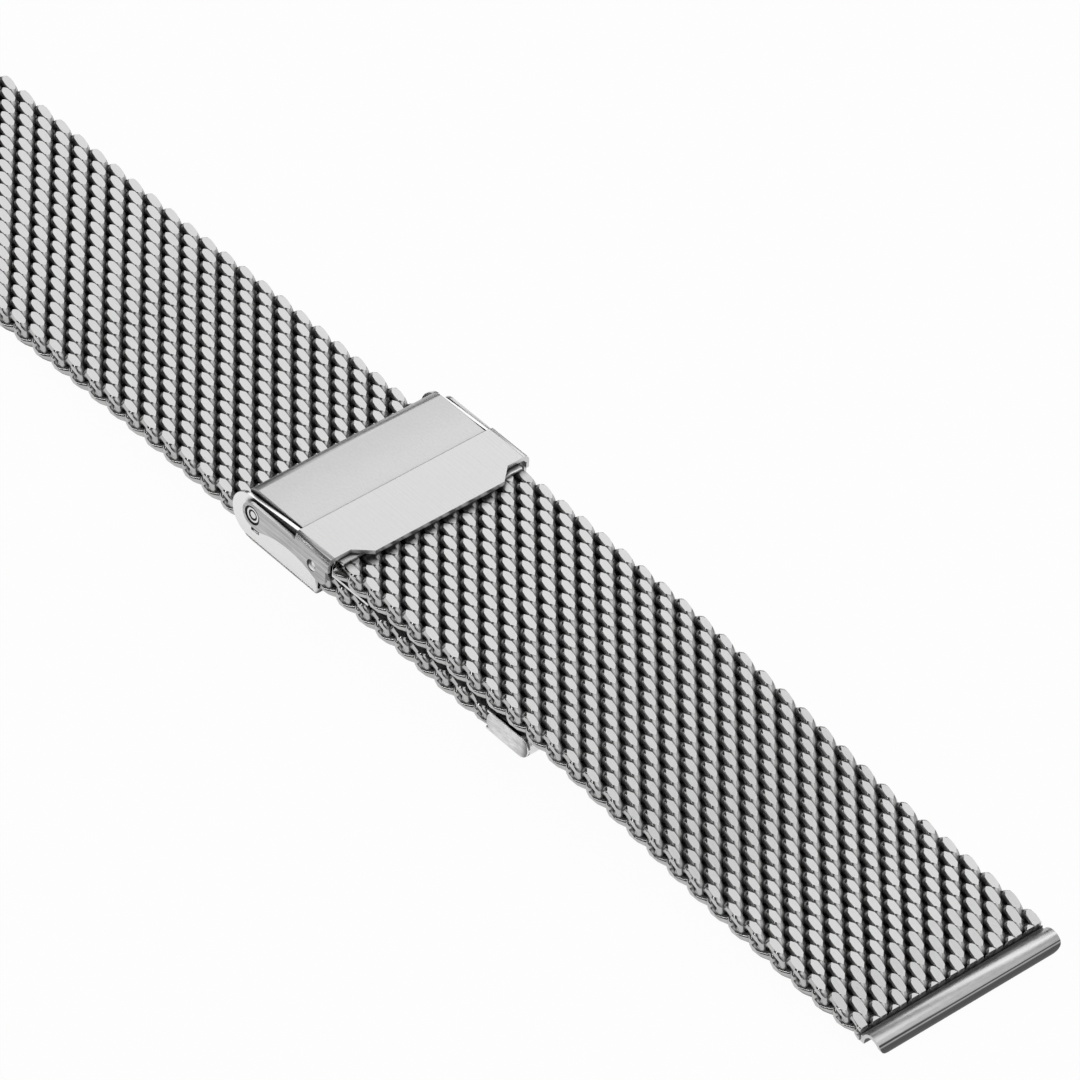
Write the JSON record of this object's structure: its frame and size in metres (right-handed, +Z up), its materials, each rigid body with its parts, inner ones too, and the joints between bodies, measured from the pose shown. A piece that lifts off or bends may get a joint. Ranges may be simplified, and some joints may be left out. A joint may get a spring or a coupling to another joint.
{
  "type": "watch bracelet",
  "caption": "Woven steel mesh watch bracelet in two straps, joined by a flat slider clasp with a lock flap and a safety cover.",
  "frame": {"origin": "bottom centre of the bracelet as it lies closed and flat on a table", "axes": "+X along the band from the long strap's end to the short strap's end, +Y across the band, +Z up"},
  "size_m": [0.1636, 0.0216, 0.0054],
  "materials": {
    "woven_steel": "polished round wire, its tops lapped flat and lightly scratched",
    "brushed_steel": "brushed",
    "satin_steel": "fine satin",
    "bright_steel": "bright, lightly polished",
    "polished_steel": "mirror polished"
  },
  "bodies": {
    "slider": {"slider_base": "bright_steel", "hook_bar": "polished_steel", "hinge_pin": "polished_steel"},
    "cover": {"safety_cover": "brushed_steel"},
    "flap": {"lock_flap": "satin_steel"},
    "long_strap_1": {"long_mesh_1": "woven_steel", "tail_cap": "bright_steel"},
    "long_strap_2": {"long_mesh_2": "woven_steel"},
    "long_strap_3": {"long_mesh_3": "woven_steel"},
    "long_strap_4": {"long_mesh_4": "woven_steel"},
    "long_strap_5": {"long_mesh_5": "woven_steel"},
    "long_strap_6": {"long_mesh_6": "woven_steel", "end_bar_long": "brushed_steel"},
    "short_strap_1": {"short_mesh_1": "woven_steel", "hook_plate": "bright_steel"},
    "short_strap_2": {"short_mesh_2": "woven_steel"},
    "short_strap_3": {"short_mesh_3": "woven_steel"},
    "short_strap_4": {"short_mesh_4": "woven_steel"},
    "short_strap_5": {"short_mesh_5": "woven_steel", "end_bar_short": "brushed_steel"}
  },
  "joints": [
    {"name": "cover_hinge", "type": "hinge", "parent": "slider", "child": "cover", "pos_m": [0.00755, 0, 0.0036], "axis": [0, -1, 0], "range_deg": [0, 150]},
    {"name": "flap_hinge", "type": "hinge", "parent": "slider", "child": "flap", "pos_m": [0.00755, 0, 0.0036], "axis": [0, -1, 0], "range_deg": [0, 70]},
    {"name": "strap_slide", "type": "slide", "parent": "slider", "child": "long_strap_1", "axis": [1, 0, 0], "range_m": [-0.018, 0]},
    {"name": "hook_lift", "type": "hinge", "parent": "slider", "child": "short_strap_1", "pos_m": [0.01495, 0, 0.00353], "axis": [0, -1, 0], "range_deg": [0, 40]},
    {"name": "long_bend_1", "type": "hinge", "parent": "long_strap_1", "child": "long_strap_2", "pos_m": [-0.01393, 0, 0.00145], "axis": [0, 1, 0], "range_deg": [-25, 25]},
    {"name": "long_bend_2", "type": "hinge", "parent": "long_strap_2", "child": "long_strap_3", "pos_m": [-0.02607, 0, 0.001], "axis": [0, 1, 0], "range_deg": [-25, 25]},
    {"name": "long_bend_3", "type": "hinge", "parent": "long_strap_3", "child": "long_strap_4", "pos_m": [-0.03822, 0, 0.001], "axis": [0, 1, 0], "range_deg": [-25, 25]},
    {"name": "long_bend_4", "type": "hinge", "parent": "long_strap_4", "child": "long_strap_5", "pos_m": [-0.05037, 0, 0.001], "axis": [0, 1, 0], "range_deg": [-25, 25]},
    {"name": "long_bend_5", "type": "hinge", "parent": "long_strap_5", "child": "long_strap_6", "pos_m": [-0.06252, 0, 0.001], "axis": [0, 1, 0], "range_deg": [-25, 25]},
    {"name": "short_bend_1", "type": "hinge", "parent": "short_strap_1", "child": "short_strap_2", "pos_m": [0.02619, 0, 0.00385], "axis": [0, -1, 0], "range_deg": [0, 25]},
    {"name": "short_bend_2", "type": "hinge", "parent": "short_strap_2", "child": "short_strap_3", "pos_m": [0.03834, 0, 0.00374], "axis": [0, -1, 0], "range_deg": [0, 25]},
    {"name": "short_bend_3", "type": "hinge", "parent": "short_strap_3", "child": "short_strap_4", "pos_m": [0.05045, 0, 0.00279], "axis": [0, -1, 0], "range_deg": [-25, 25]},
    {"name": "short_bend_4", "type": "hinge", "parent": "short_strap_4", "child": "short_strap_5", "pos_m": [0.06252, 0, 0.00142], "axis": [0, -1, 0], "range_deg": [-25, 25]}
  ],
  "couplings": [
    {"joint": "hook_lift", "follows": "cover_hinge", "ratio": 0.25}
  ]
}
